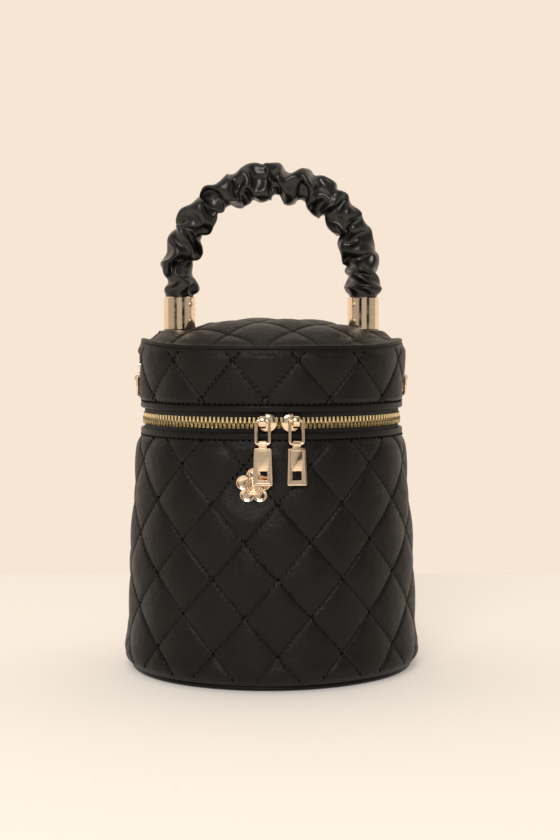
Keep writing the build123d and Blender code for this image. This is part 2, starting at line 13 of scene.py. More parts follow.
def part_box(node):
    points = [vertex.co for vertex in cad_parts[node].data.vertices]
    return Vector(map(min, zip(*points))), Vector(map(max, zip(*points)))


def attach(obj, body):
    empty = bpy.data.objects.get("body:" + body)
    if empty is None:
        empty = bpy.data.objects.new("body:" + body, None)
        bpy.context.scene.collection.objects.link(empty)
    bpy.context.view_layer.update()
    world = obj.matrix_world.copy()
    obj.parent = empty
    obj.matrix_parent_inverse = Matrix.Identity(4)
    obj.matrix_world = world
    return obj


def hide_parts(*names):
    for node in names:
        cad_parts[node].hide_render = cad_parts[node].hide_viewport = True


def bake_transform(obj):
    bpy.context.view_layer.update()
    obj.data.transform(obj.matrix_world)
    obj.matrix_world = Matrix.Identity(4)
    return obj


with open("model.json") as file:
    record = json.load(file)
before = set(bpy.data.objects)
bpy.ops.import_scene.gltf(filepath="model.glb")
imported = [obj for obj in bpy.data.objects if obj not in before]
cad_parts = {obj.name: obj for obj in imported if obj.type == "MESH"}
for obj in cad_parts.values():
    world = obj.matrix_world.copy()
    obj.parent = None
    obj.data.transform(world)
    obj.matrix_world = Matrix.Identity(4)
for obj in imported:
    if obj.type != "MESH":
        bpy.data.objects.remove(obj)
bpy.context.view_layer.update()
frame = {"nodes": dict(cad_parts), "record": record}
MM = 0.001


def corner(node, high, axis):
    """One limit of a CAD node's box, in millimetres."""
    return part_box(node)[high][axis] / MM


# ---- sizes that come from the frame ----
HALF_WIDTH = corner("lid_rim_binding", 1, 0)
HALF_DEPTH = corner("lid_rim_binding", 1, 1)
BODY_TOP = corner("body_rim_binding", 1, 2)
BODY_SEW = corner("body_rim_binding", 0, 2)
LID_BOTTOM = corner("lid_rim_binding", 0, 2)
LID_SEW = corner("lid_rim_binding", 1, 2)
LID_SEAM = corner("lid_band_leather", 1, 2)
FOOT_Z = corner("body_leather", 0, 2)
BASE_SPREAD = corner("body_leather", 1, 0) - HALF_WIDTH
DOME_FLOOR = corner("lid_top_board", 1, 2)
DOME_CREST = corner("lid_top_leather", 1, 2)
ZIP_Z = (corner("zip_teeth_lower", 0, 2) + corner("zip_teeth_upper", 1, 2)) / 2
CHAIN_HALF = corner("zip_teeth_upper", 1, 2) - ZIP_Z
SLEEVE_START = corner("handle_sleeve", 0, 2)
SLEEVE_TOP = corner("handle_sleeve", 1, 2)
SLEEVE_R = corner("handle_sleeve", 1, 1)
ARCH_R = corner("handle_sleeve", 1, 0) - SLEEVE_R
ARCH_SPRING = SLEEVE_TOP - SLEEVE_R - ARCH_R
FERRULE_SEAT = corner("ferrule_left", 0, 2)
FERRULE_R = corner("ferrule_left", 1, 1)

# ---- sizes shared with the CAD source ----
FRONT_RADIUS = 92.0         # front and back arcs of the mouth
WIDEST_Z = 11.0             # level where the body is widest
HEM_Z = 133.0               # above this level the wall is upright
MID_TAPE = 2.0              # depth of the zip tape's middle
TOOTH_PITCH = 2.5
CHAIN_END = 31.0            # x where the teeth stop at the back
SLIDER_REST = 6.35          # arc distance of a slider from the front centre
CROWN_SHIFT = 2.7           # the crown stands this far from the slider's middle
LINK_OUT = 3.3              # link's axis from the wall's surface
LINK_UP = 1.5               # link's axis above the middle of the zip
LINK_HALF = 3.65            # half the distance between the link's legs
LINK_LENGTH = 13.0
PULL_TILT = math.radians(4.5)   # link and tab lean away from the wall

FRONT_CENTRE = FRONT_RADIUS - HALF_DEPTH
SIDE_RADIUS = (FRONT_RADIUS**2 - HALF_WIDTH**2 - FRONT_CENTRE**2) / (2 * (FRONT_RADIUS - HALF_WIDTH))
SIDE_CENTRE = HALF_WIDTH - SIDE_RADIUS
JOIN = math.atan2(SIDE_CENTRE, FRONT_CENTRE)

# ---- quilting: each crossing is a place where two sewn lines meet ----
DIAMOND_HALF_WIDTH = 18.4
DIAMOND_HALF_HEIGHT = 20.9
BODY_CROSSING = (-1.0, 62.3)
BAND_CROSSING = (-7.5, 162.6)
TOP_CROSSING = (-9.0, -62.0)
BODY_PUFF = 2.0
BAND_PUFF = 1.7
TOP_PUFF = 2.0
PUCKER = 0.16
GROOVE_DEPTH = 0.6
GROOVE_WIDTH = 0.7
TOP_EDGE = -2.4             # offset of the padded top's edge from the oval
STITCH_PITCH = 3.3
STITCH_LENGTH = 2.75
STITCH_R = 0.42
STITCH_SIDES = 6
RING_POINTS = 300           # points round each ring that follows the oval


# ---- the oval, by the angle of its outward normal from the front ----
def outline(turn, offset):
    """Points of the oval moved outwards by offset."""
    turn = np.asarray(turn, float)
    front = np.abs(turn) <= JOIN
    back = np.abs(turn) >= math.pi - JOIN
    cx = np.where(front | back, 0.0, SIDE_CENTRE * np.sign(turn))
    cy = np.where(front, FRONT_CENTRE, np.where(back, -FRONT_CENTRE, 0.0))
    radius = np.where(front | back, FRONT_RADIUS, SIDE_RADIUS) + offset
    return cx + radius * np.sin(turn), cy - radius * np.cos(turn)


def arc_of(turn, offset):
    """Arc distance from the front centre, along the oval moved outwards by offset."""
    size = np.abs(turn)
    first = np.minimum(size, JOIN) * (FRONT_RADIUS + offset)
    second = np.clip(size - JOIN, 0, math.pi - 2 * JOIN) * (SIDE_RADIUS + offset)
    third = np.maximum(size - (math.pi - JOIN), 0) * (FRONT_RADIUS + offset)
    return np.sign(turn) * (first + second + third)


def turn_of(arc, offset):
    """The inverse of arc_of."""
    size = np.abs(arc)
    first = JOIN * (FRONT_RADIUS + offset)
    second = (math.pi - 2 * JOIN) * (SIDE_RADIUS + offset)
    turn = np.where(size < first, size / (FRONT_RADIUS + offset), np.where(
        size < first + second, JOIN + (size - first) / (SIDE_RADIUS + offset),
        math.pi - JOIN + (size - first - second) / (FRONT_RADIUS + offset)))
    return np.sign(arc) * turn


def even_turns(count):
    """Normal angles of points evenly spaced round the oval."""
    half = float(arc_of(math.pi, 0.0))
    return turn_of(np.linspace(-half, half, count, endpoint=False), 0.0)


def smooth(value, low, high):
    """A smooth step from 0 at low to 1 at high."""
    share = np.clip((np.asarray(value, float) - low) / (high - low), 0, 1)
    return share * share * (3 - 2 * share)


# ---- materials ----
def new_material(name, colour, roughness, metallic=0.0):
    """A material with its node tree and its shader."""
    material = bpy.data.materials.new(name)
    material.use_nodes = True
    shader = material.node_tree.nodes["Principled BSDF"]
    shader.inputs["Base Color"].default_value = (*colour, 1)
    shader.inputs["Roughness"].default_value = roughness
    shader.inputs["Metallic"].default_value = metallic
    return material, material.node_tree, shader


def add_node(tree, kind, **values):
    """A node with inputs or settings given by name."""
    node = tree.nodes.new(kind)
    for key, value in values.items():
        if key in node.inputs:
            node.inputs[key].default_value = value
        else:
            setattr(node, key, value)
    return node


def object_position(tree):
    """The place on the piece."""
    return tree.nodes.new("ShaderNodeTexCoord").outputs["Object"]


def noise(tree, place, scale, detail, roughness=0.5):
    """Noise of one scale."""
    node = add_node(tree, "ShaderNodeTexNoise", Scale=scale, Detail=detail, Roughness=roughness)
    tree.links.new(place, node.inputs["Vector"])
    return node.outputs["Fac"]


def ramp(tree, source, low, high, low_colour, high_colour):
    """Source mapped to a colour between two limits."""
    node = tree.nodes.new("ShaderNodeValToRGB")
    node.color_ramp.elements[0].position = low
    node.color_ramp.elements[1].position = high
    node.color_ramp.elements[0].color = (*low_colour, 1)
    node.color_ramp.elements[1].color = (*high_colour, 1)
    tree.links.new(source, node.inputs["Fac"])
    return node.outputs["Color"]


def shades(colour, *factors):
    """The colour made darker or lighter by each factor."""
    return [tuple(min(c * factor, 1) for c in colour) for factor in factors]


def bump(tree, height, strength, distance, previous=None):
    """A normal raised by height, on top of an earlier one if there is any."""
    node = add_node(tree, "ShaderNodeBump", Strength=strength, Distance=distance)
    tree.links.new(height, node.inputs["Height"])
    if previous is not None:
        tree.links.new(previous, node.inputs["Normal"])
    return node.outputs["Normal"]


def leather(name, colour, roughness, grain, crease, gloss):
    """Fine-grained coated leather: pebbled cells, soft creases, uneven shine."""
    material, tree, shader = new_material(name, colour, roughness)
    place = object_position(tree)
    cells = add_node(tree, "ShaderNodeTexVoronoi", feature="DISTANCE_TO_EDGE", Scale=800.0)
    tree.links.new(place, cells.inputs["Vector"])
    broad = noise(tree, place, 190.0, 4.0, 0.6)
    normal = bump(tree, broad, crease, 0.0012)
    normal = bump(tree, cells.outputs["Distance"], grain, 0.00035, normal)
    normal = bump(tree, noise(tree, place, 2600.0, 3.0), grain * 0.5, 0.00012, normal)
    tree.links.new(normal, shader.inputs["Normal"])
    dark, light = shades(colour, 0.72, 1.35)
    patch = noise(tree, place, 38.0, 3.0)
    tree.links.new(ramp(tree, patch, 0.3, 0.7, dark, light), shader.inputs["Base Color"])
    low = (roughness - 0.06,) * 3
    high = (roughness + 0.09,) * 3
    tree.links.new(ramp(tree, broad, 0.3, 0.7, low, high), shader.inputs["Roughness"])
    shader.inputs["Specular IOR Level"].default_value = gloss
    return material


def polished(name, colour, roughness):
    """Plated metal with faint wipe marks and a slightly uneven polish."""
    material, tree, shader = new_material(name, colour, roughness, 1.0)
    place = object_position(tree)
    stretch = add_node(tree, "ShaderNodeMapping", Scale=(1.0, 1.0, 0.12))
    tree.links.new(place, stretch.inputs["Vector"])
    marks = noise(tree, stretch.outputs["Vector"], 1500.0, 2.0)
    cloud = noise(tree, place, 260.0, 3.0)
    tree.links.new(bump(tree, marks, 0.05, 0.0001), shader.inputs["Normal"])
    low = (max(roughness - 0.05, 0.03),) * 3
    high = (roughness + 0.08,) * 3
    tree.links.new(ramp(tree, cloud, 0.35, 0.7, low, high), shader.inputs["Roughness"])
    dull, bright = shades(colour, 0.9, 1.0)
    tree.links.new(ramp(tree, cloud, 0.3, 0.75, bright, dull), shader.inputs["Base Color"])
    return material


def woven(name, colour, scale, roughness=0.85, fuzz=0.2):
    """Plain woven cloth: crossing ribs and a little colour variation."""
    material, tree, shader = new_material(name, colour, roughness)
    place = object_position(tree)
    ribs = []
    for direction in ("X", "Z"):
        wave = add_node(tree, "ShaderNodeTexWave", Scale=scale, Distortion=0.6, Detail=1.0)
        wave.bands_direction = direction
        tree.links.new(place, wave.inputs["Vector"])
        ribs.append(wave.outputs["Fac"])
    mixed = add_node(tree, "ShaderNodeMath", operation="MULTIPLY")
    tree.links.new(ribs[0], mixed.inputs[0])
    tree.links.new(ribs[1], mixed.inputs[1])
    tree.links.new(bump(tree, mixed.outputs[0], 0.6, 0.0002), shader.inputs["Normal"])
    fluff = noise(tree, place, 700.0, 3.0)
    dark, light = shades(colour, 0.7, 1.4)
    tree.links.new(ramp(tree, fluff, 0.3, 0.7, dark, light), shader.inputs["Base Color"])
    shader.inputs["Sheen Weight"].default_value = fuzz
    shader.inputs["Specular IOR Level"].default_value = 0.08 + fuzz
    return material


def fibre(name, colour):
    """Board or foam that hardly shows: mottled and matt."""
    material, tree, shader = new_material(name, colour, 0.9)
    speck = noise(tree, object_position(tree), 900.0, 4.0)
    dark, light = shades(colour, 0.8, 1.15)
    tree.links.new(ramp(tree, speck, 0.3, 0.7, dark, light), shader.inputs["Base Color"])
    tree.links.new(bump(tree, speck, 0.3, 0.0002), shader.inputs["Normal"])
    return material


BLACK = (0.0050, 0.0041, 0.0035)
QUILTED = leather("quilted_leather", BLACK, 0.41, 0.6, 0.4, 0.24)
PLAIN = leather("plain_leather", BLACK, 0.38, 0.3, 0.2, 0.22)
GATHERED = leather("gathered_leather", (0.0045, 0.0043, 0.0043), 0.29, 0.10, 0.2, 0.55)
THREAD = woven("black_thread", (0.0012, 0.0011, 0.0011), 2500.0, 0.8, 0.0)
GOLD = polished("pale_gold", (0.96, 0.76, 0.55), 0.12)
ZIP_GOLD = polished("zip_gold", (1.0, 0.81, 0.46), 0.3)
TAPE = woven("zip_tape", (0.006, 0.0056, 0.0056), 900.0)
LINING = woven("lining_twill", (0.022, 0.021, 0.022), 650.0)
BOARD = fibre("fibre_board", (0.10, 0.085, 0.07))
FOAM = fibre("padding", (0.6, 0.57, 0.52))
STEEL = polished("plain_steel", (0.6, 0.6, 0.62), 0.3)


# ---- mesh helpers ----
def add_object(name, data):
    """A new object in the scene."""
    item = bpy.data.objects.new(name, data)
    bpy.context.scene.collection.objects.link(item)
    return item


def make_piece(name, points, faces, material, body, replaces=()):
    """A smooth mesh piece from points in millimetres, riding on a body if one is named."""
    mesh = bpy.data.meshes.new(name)
    mesh.from_pydata((np.asarray(points, float) * MM).tolist(), [], faces)
    mesh.validate()
    piece = add_object(name, mesh)
    tidy = bmesh.new()
    tidy.from_mesh(mesh)
    bmesh.ops.recalc_face_normals(tidy, faces=tidy.faces)
    tidy.to_mesh(mesh)
    tidy.free()
    mesh.polygons.foreach_set("use_smooth", [True] * len(mesh.polygons))
    mesh.materials.append(material)
    if body:
        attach(piece, body)
    if replaces:
        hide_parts(*replaces)
    return piece


def circle(count):
    """Angles evenly spaced round a circle."""
    return np.linspace(0, 2 * math.pi, count, endpoint=False)


def grid_faces(rows, columns, close_rows=False, close_columns=True, start=0):
    """Quads of a grid of points stored row by row."""
    faces = []
    last_row = rows if close_rows else rows - 1
    last_column = columns if close_columns else columns - 1
    for row in range(last_row):
        here, there = row * columns + start, (row + 1) % rows * columns + start
        for column in range(last_column):
            after = (column + 1) % columns
            faces.append((here + column, here + after, there + after, there + column))
    return faces


def ring_piece(name, profile, body, replaces, lift=None):
    """A closed ring of plain leather: a section of (offset, z) carried round the oval."""
    turns = even_turns(RING_POINTS)
    rows = []
    for offset, z in profile:
        x, y = outline(turns, offset)
        height = z + (lift(turns) if lift is not None else 0.0)
        rows.append(np.stack([x, y, np.broadcast_to(height, x.shape)], axis=1))
    faces = grid_faces(len(profile), RING_POINTS, close_rows=True)
    make_piece(name, np.concatenate(rows), faces, PLAIN, body, replaces)


def rounded_section(low, high, inner, outer, radius, steps=4):
    """A rectangle with rounded corners as a list of (offset, z)."""
    middles = ((outer - radius, low + radius, -90), (outer - radius, high - radius, 0),
               (inner + radius, high - radius, 90), (inner + radius, low + radius, 180))
    section = []
    for offset, z, start in middles:
        for step in range(steps + 1):
            angle = math.radians(start + 90 * step / steps)
            section.append((offset + radius * math.cos(angle), z + radius * math.sin(angle)))
    return section


def looped_tube(path, radius, sides):
    """Points and faces of a round tube along a closed path."""
    path = np.asarray(path, float)
    along = np.roll(path, -1, 0) - np.roll(path, 1, 0)
    along /= np.linalg.norm(along, axis=1)[:, None]
    side = np.cross(along[0], (0.0, 0.0, 1.0))
    if np.linalg.norm(side) < 0.1:
        side = np.cross(along[0], (1.0, 0.0, 0.0))
    angles = circle(sides)
    rows = []
    for middle, way in zip(path, along):
        side = side - way * np.dot(side, way)
        side /= np.linalg.norm(side)
        other = np.cross(way, side)
        rows.append(middle + radius * (np.outer(np.cos(angles), side) + np.outer(np.sin(angles), other)))
    return np.concatenate(rows), grid_faces(len(path), sides, close_rows=True)


def lofted(rows):
    """Rings with equal numbers of points as one shape with flat ends."""
    count, sides = len(rows), len(rows[0])
    faces = grid_faces(count, sides)
    faces.append(tuple(range(sides))[::-1])
    faces.append(tuple(range((count - 1) * sides, count * sides)))
    return np.concatenate(rows), faces


def joined(parts):
    """Several (points, faces) as one."""
    points, faces, start = [], [], 0
    for part_points, part_faces in parts:
        points.append(np.asarray(part_points, float))
        faces += [tuple(index + start for index in face) for face in part_faces]
        start += len(part_points)
    return np.concatenate(points), faces


def stitches(places, ways, normals):
    """Thread stitches, each a bowed capsule lying on the surface."""
    reach = (-1.0, -0.8, -0.3, 0.3, 0.8, 1.0)
    thick = (0.2, 0.8, 1.0, 1.0, 0.8, 0.2)
    angles = circle(STITCH_SIDES)
    parts = []
    for place, way, normal in zip(places, ways, normals):
        side = np.cross(way, normal)
        arms = np.outer(np.cos(angles), side) + np.outer(np.sin(angles), normal)
        rows = []
        for step, size in zip(reach, thick):
            middle = place + way * step * STITCH_LENGTH / 2 + normal * (0.30 - 0.34 * step * step)
            rows.append(middle + STITCH_R * size * arms)
        parts.append(lofted(rows))
    return joined(parts)


def stitch_line(surface, path):
    """Stitch places along a path of (a, b) surface values, evenly spaced on the surface."""
    points = np.stack(surface(path[:, 0], path[:, 1]), axis=1)
    length = np.concatenate([[0], np.cumsum(np.linalg.norm(np.diff(points, axis=0), axis=1))])
    count = int(length[-1] / STITCH_PITCH)
    if count < 1:
        return [], [], []
    at = (np.arange(count) + 0.5) * length[-1] / count
    a, b = np.interp(at, length, path[:, 0]), np.interp(at, length, path[:, 1])
    ahead_a, ahead_b = np.interp(at + 0.4, length, path[:, 0]), np.interp(at + 0.4, length, path[:, 1])
    here = np.stack(surface(a, b), axis=1)
    way = np.stack(surface(ahead_a, ahead_b), axis=1) - here
    way /= np.linalg.norm(way, axis=1)[:, None] + 1e-9
    step = 0.01
    first = np.stack(surface(a + step, b), axis=1) - here
    second = np.stack(surface(a, b + step * 20), axis=1) - here
    normal = np.cross(first, second)
    normal /= np.linalg.norm(normal, axis=1)[:, None] + 1e-9
    way -= normal * np.sum(way * normal, axis=1)[:, None]
    way /= np.linalg.norm(way, axis=1)[:, None] + 1e-9
    return list(here), list(way), list(normal)


# ---- quilting ----
def quilt(across, up, crossing, height):
    """Height of a quilted surface: pillows between two families of sewn lines, with grooves and puckers."""
    u = (across - crossing[0]) / DIAMOND_HALF_WIDTH
    v = (up - crossing[1]) / DIAMOND_HALF_HEIGHT
    slope = 0.5 * math.hypot(1 / DIAMOND_HALF_WIDTH, 1 / DIAMOND_HALF_HEIGHT)
    first, second = (u + v) / 2, (u - v) / 2
    pillow = (np.abs(np.sin(math.pi * first)) * np.abs(np.sin(math.pi * second)))**0.5
    total = height * pillow
    for line, other in ((first, second), (second, first)):
        distance = np.abs(line - np.round(line)) / slope
        along = other / slope
        total = total - GROOVE_DEPTH * np.exp(-(distance / GROOVE_WIDTH)**2)
        total = total + PUCKER * np.cos(2 * math.pi * along / STITCH_PITCH) * np.exp(-distance / 1.8)
    return total


SHORTEST_RUN = 6            # path points; a sewn line with no more than this many is left out


def quilt_lines(crossing, across_limit, up_low, up_high, steps):
    """Paths of (across, up) along every sewn line inside the limits."""
    paths = []
    reach = across_limit(up_low) + (up_high - up_low) * DIAMOND_HALF_WIDTH / DIAMOND_HALF_HEIGHT
    count = int(reach / DIAMOND_HALF_WIDTH) + 3
    up = np.linspace(up_low, up_high, steps)
    for lean in (-1, 1):
        for index in range(-count, count + 1):
            shift = lean * (up - crossing[1]) / DIAMOND_HALF_HEIGHT
            across = crossing[0] + DIAMOND_HALF_WIDTH * (2 * index + shift)
            inside = np.abs(across) < across_limit(up) - 1
            if inside.sum() > SHORTEST_RUN:
                paths.append(np.stack([across[inside], up[inside]], axis=1))
    return paths


# ---- body ----
def flare(z):
    """Offset of the wall at height z: the CAD's flare, slimmer low down and tucked in at the foot."""
    high = BASE_SPREAD * np.clip((HEM_Z - z) / (HEM_Z - WIDEST_Z), 0, 1)
    slimmer = 1.7 * smooth(z, 68.0, 34.0) * smooth(z, 6.0, 22.0)
    return high - slimmer - 0.09 * np.maximum(WIDEST_Z - 2.5 - z, 0)**2


FLOWER = (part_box("flower_ornament")[0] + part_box("flower_ornament")[1]) / 2 / MM


def body_offset(turn, z):
    """Offset of the leather's outer surface."""
    base = flare(z)
    arc = arc_of(turn, base)
    puff = quilt(arc, z, BODY_CROSSING, BODY_PUFF)
    belly = 1.3 * np.sqrt(np.clip((z - FOOT_Z) / 130.0, 0, 1)) * smooth(BODY_SEW - z, 0, 9)
    ends = smooth(BODY_SEW - z, 0.2, 6) * smooth(z, FOOT_Z, FOOT_Z + 10)
    flower_arc = arc_of(math.atan2(FLOWER.x, FRONT_CENTRE - FLOWER.y), base)
    away = np.hypot(arc - flower_arc, z - FLOWER.z)
    seam_away = arc_of(math.pi, base) - np.abs(arc)
    pressed = smooth(away, 8.5, 21.0) * smooth(seam_away, 0.0, 4.0)
    wander = 0.35 * np.sin(turn * 5 + 1.0) * np.sin(z / 27.0)
    return base + (belly + puff * ends + wander * ends) * pressed + 0.25


def wall(offset):
    """The surface of (turn, z) that stands offset(turn, z) outside the oval."""
    def surface(turn, z):
        x, y = outline(turn, offset(turn, z))
        return x, y, np.broadcast_to(z, x.shape).astype(float)
    return surface


def quilted_shell(name, surface, inner, low, high, rows, columns, body, replaces):
    """A closed quilted wall between two heights: a fine outer face and a plain inner one."""
    turns = even_turns(columns)
    layers = []
    for share in np.linspace(0, 1, rows):
        layers.append(np.stack(surface(turns, low(turns) + share * (high(turns) - low(turns))), axis=1))
    for share in (1.0, 0.66, 0.33, 0.0):
        z = low(turns) + share * (high(turns) - low(turns))
        x, y = outline(turns, inner(z))
        layers.append(np.stack([x, y, z], axis=1))
    faces = grid_faces(len(layers), columns, close_rows=True)
    piece = make_piece(name, np.concatenate(layers), faces, QUILTED, body, replaces)


def level(z):
    """The same height all round."""
    return lambda turns: np.full(np.shape(turns), float(z))


def body_leather():
    """The quilted wall."""
    quilted_shell("body_quilting", wall(body_offset), lambda z: flare(z) - 1.5, level(FOOT_Z),
                  level(BODY_SEW), 190, 680, "body",
                  ["body_leather"])


def surface_by_arc(surface, base):
    """A surface of (turn, z) taken by arc distance and z."""
    return lambda arc, z: surface(turn_of(arc, base(z)), z)


def sew(name, surface, paths, body):
    """One thread piece with every stitch of these paths."""
    places, ways, normals = [], [], []
    for path in paths:
        a, b, c = stitch_line(surface, path)
        places += a
        ways += b
        normals += c
    points, faces = stitches(places, ways, normals)
    make_piece(name, points, faces, THREAD, body)


def body_stitches():
    """Every stitch of the quilted wall."""
    paths = quilt_lines(BODY_CROSSING, lambda z: arc_of(math.pi, flare(z)), FOOT_Z + 3, BODY_SEW - 0.8, 90)
    sew("body_stitches", surface_by_arc(wall(body_offset), flare), paths, "body")


def rims():
    """Folded edges of the body and of the lid, each with a row of topstitching beside it."""
    for body, low, high in (("body", BODY_SEW - 0.5, BODY_TOP + 0.1),
                            ("lid", LID_BOTTOM - 0.1, LID_SEW + 0.4)):
        ring_piece(f"{body}_rim", rounded_section(low, high, -1.7, 0.75, 0.8), body, [f"{body}_rim_binding"])
    limit = float(arc_of(math.pi, 0.0)) - 1
    arcs = np.linspace(-limit, limit, 500)
    for body, height, offset in (("body", BODY_SEW - 0.9, 0.25), ("lid", LID_SEW + 1.0, 0.1)):
        surface = surface_by_arc(wall(lambda turn, z, offset=offset: offset), lambda z: 0.0)
        sew(f"{body}_topstitch", surface, [np.stack([arcs, np.full(len(arcs), height)], axis=1)], body)


# ---- lid ----
HANGER_MIDDLE = 173.0


def seam_rise(turn):
    """The top seam stands higher at the two ends than at the front and back."""
    return 4.0 * np.sin(turn)**4 - 0.8


def band_offset(turn, z):
    """Offset of the band's outer surface, pressed flat behind each hanger."""
    share = (z - LID_SEW) / (LID_SEAM - LID_SEW)
    puff = quilt(arc_of(turn, 0.0), z, BAND_CROSSING, BAND_PUFF)
    ends = smooth(z, LID_SEW, LID_SEW + 4) * smooth(LID_SEAM + seam_rise(turn) - z, 0.0, 5.0)
    hanger = smooth(np.abs(np.abs(turn) - math.pi / 2) * SIDE_RADIUS, 4.2, 9.0)
    low_or_high = smooth(np.abs(z - HANGER_MIDDLE), 10.0, 15.0)
    pressed = np.maximum(hanger, low_or_high)
    return -0.1 + 0.7 * share * pressed + puff * ends * pressed + 0.4 * ends * pressed


def lid_band():
    """The quilted band with its stitches."""
    quilted_shell("lid_band_quilting", wall(band_offset), lambda z: -2.3, level(LID_SEW),
                  lambda turns: LID_SEAM + seam_rise(turns), 60,
                  640, "lid", ["lid_band_leather"])
    paths = quilt_lines(BAND_CROSSING, lambda z: arc_of(math.pi, 0.0), LID_SEW + 1.5, LID_SEAM - 1.5, 50)
    sew("lid_band_stitches", surface_by_arc(wall(band_offset), lambda z: 0.0), paths, "lid")


def top_edge(x, y):
    """Turn of a point of the top, and the point of the padded top's edge that it faces."""
    turn = np.arctan2(x * HALF_DEPTH / HALF_WIDTH, -y)
    return turn, *outline(turn, TOP_EDGE)


def top_height(x, y):
    """Height of the padded top, pressed down to the ferrules' seats."""
    turn, edge_x, edge_y = top_edge(x, y)
    share = np.hypot(x / HALF_WIDTH, y / HALF_DEPTH) / np.hypot(edge_x / HALF_WIDTH, edge_y / HALF_DEPTH)
    edge = LID_SEAM + seam_rise(turn) + 1.0
    dome = DOME_CREST + 0.8 - (DOME_CREST + 0.8 - edge) * share**2.3
    puff = quilt(x, y, TOP_CROSSING, TOP_PUFF)
    height = dome + (puff - 0.5) * smooth(1 - share, 0.0, 0.1)
    for side in (-1, 1):
        away = np.hypot(x - side * ARCH_R, y)
        seat = FERRULE_SEAT - 0.15 + (height - FERRULE_SEAT) * smooth(away, 9.0, 17.5)
        height = np.where(away < 18, seat, height)
    return height


def top_surface(x, y):
    """Points of the padded top."""
    x, y = np.asarray(x, float), np.asarray(y, float)
    return x, y, top_height(x, y)


def lid_top():
    """The padded top with its flat underside, its piping and its stitches."""
    columns = 480
    edge_x, edge_y = outline(even_turns(columns), TOP_EDGE)
    layers = []
    for share in np.linspace(1.0, 0.012, 110):
        layers.append(np.stack(top_surface(edge_x * share, edge_y * share), axis=1))
    rows = len(layers)
    for share in (0.03, 0.5, 1.0):
        layers.append(np.stack([edge_x * share, edge_y * share, np.full(columns, DOME_FLOOR + 0.1)], axis=1))
    faces = grid_faces(rows, columns)
    faces.append(tuple(range((rows - 1) * columns, rows * columns)))
    faces += grid_faces(3, columns, start=rows * columns)
    faces.append(tuple(range(rows * columns, (rows + 1) * columns))[::-1])
    last = (rows + 2) * columns
    faces += [(last + c, last + (c + 1) % columns, (c + 1) % columns, c) for c in range(columns)]
    piece = make_piece("lid_top_quilting", np.concatenate(layers), faces, QUILTED, "lid",
                       ["lid_top_leather"])
    piping = [(1.55 * math.cos(a) - 1.0, LID_SEAM + 1.1 + 1.55 * math.sin(a)) for a in circle(12)]
    ring_piece("lid_top_piping", piping, "lid", ["lid_piping"], seam_rise)
    sew("lid_top_stitches", top_surface, top_paths(), "lid")


def top_paths():
    """Sewn lines of the top that stay clear of its edge and of the ferrules."""
    paths = []
    for path in quilt_lines(TOP_CROSSING, lambda up: HALF_WIDTH, -HALF_DEPTH, HALF_DEPTH, 160):
        x, y = path[:, 0], path[:, 1]
        _, edge_x, edge_y = top_edge(x, y)
        inside = np.hypot(x, y) < np.hypot(edge_x, edge_y) - 1.5
        clear = np.minimum(np.hypot(x - ARCH_R, y), np.hypot(x + ARCH_R, y)) > FERRULE_R + 1
        edges = np.flatnonzero(np.diff(np.concatenate([[0], (inside & clear).astype(int), [0]])))
        for start, stop in zip(edges[::2], edges[1::2]):
            if stop - start > SHORTEST_RUN:
                paths.append(path[start:stop])
    return paths


# ---- zip ----
TOOTH_OVER = 0.35           # the head reaches this far past the middle of the chain
TOOTH_HEAD = 1.12
TOOTH_LEGS = 1.32
TOOTH_DEPTH = 2.5


def tooth_shape(side):
    """One bevelled tooth with its legs on the tape and its head past the middle of the chain."""
    shape = bmesh.new()
    bmesh.ops.create_cube(shape, size=1)
    for vertex in shape.verts:
        width, z = (TOOTH_LEGS, CHAIN_HALF) if vertex.co.z > 0 else (TOOTH_HEAD, -TOOTH_OVER)
        vertex.co = Vector((vertex.co.x * width, vertex.co.y * TOOTH_DEPTH, z * side))
    bmesh.ops.bevel(shape, geom=shape.edges[:], offset=0.3, segments=2, profile=0.6, affect="EDGES")
    points = np.array([v.co[:] for v in shape.verts])
    index = {v: i for i, v in enumerate(shape.verts)}
    faces = [tuple(index[v] for v in face.verts) for face in shape.faces]
    shape.free()
    return points, faces


def zip_rows():
    """Both rows of teeth, half a pitch apart."""
    half = float(arc_of(math.pi - math.asin(CHAIN_END / (FRONT_RADIUS - MID_TAPE)), -MID_TAPE))
    count = int(half / TOOTH_PITCH)
    for side, body, name in ((-1, "body", "zip_teeth_lower"), (1, "lid", "zip_teeth_upper")):
        points, faces = tooth_shape(side)
        shift = 0.0 if side < 0 else TOOTH_PITCH / 2
        parts = []
        for step in range(-count, count):
            turn = float(turn_of(np.array(step * TOOTH_PITCH + shift), -MID_TAPE))
            x, y = outline(turn, -MID_TAPE)
            cosine, sine = math.cos(turn), math.sin(turn)
            spin = np.array([[cosine, -sine, 0], [sine, cosine, 0], [0, 0, 1]])
            parts.append((points @ spin.T + (float(x), float(y), ZIP_Z), faces))
        row, row_faces = joined(parts)
        make_piece(name.replace("teeth", "chain"), row, row_faces, ZIP_GOLD, body, [name])


# ---- sliders and pulls ----
def on_front(turn, offset, z):
    """Carries a shape drawn at the origin, facing -Y, to a place on the front arc."""
    return (Matrix.Translation((0, FRONT_CENTRE, 0)) @ Matrix.Rotation(turn, 4, "Z")
            @ Matrix.Translation((0, -FRONT_RADIUS - offset, z)))


def moved(points, matrix):
    """The points put through a matrix."""
    return np.array([(matrix @ Vector(point))[:] for point in points])


def upright_ring(radius, y, count):
    """A ring round Y; its radius may be one value or one for each point."""
    angles = circle(count)
    return np.stack([radius * np.cos(angles), np.full(count, float(y)), radius * np.sin(angles)], axis=1)


def turned_disc(profile, sides=48):
    """A lathe round Y from a profile of (radius, y)."""
    return lofted([upright_ring(radius, y, sides) for radius, y in profile])


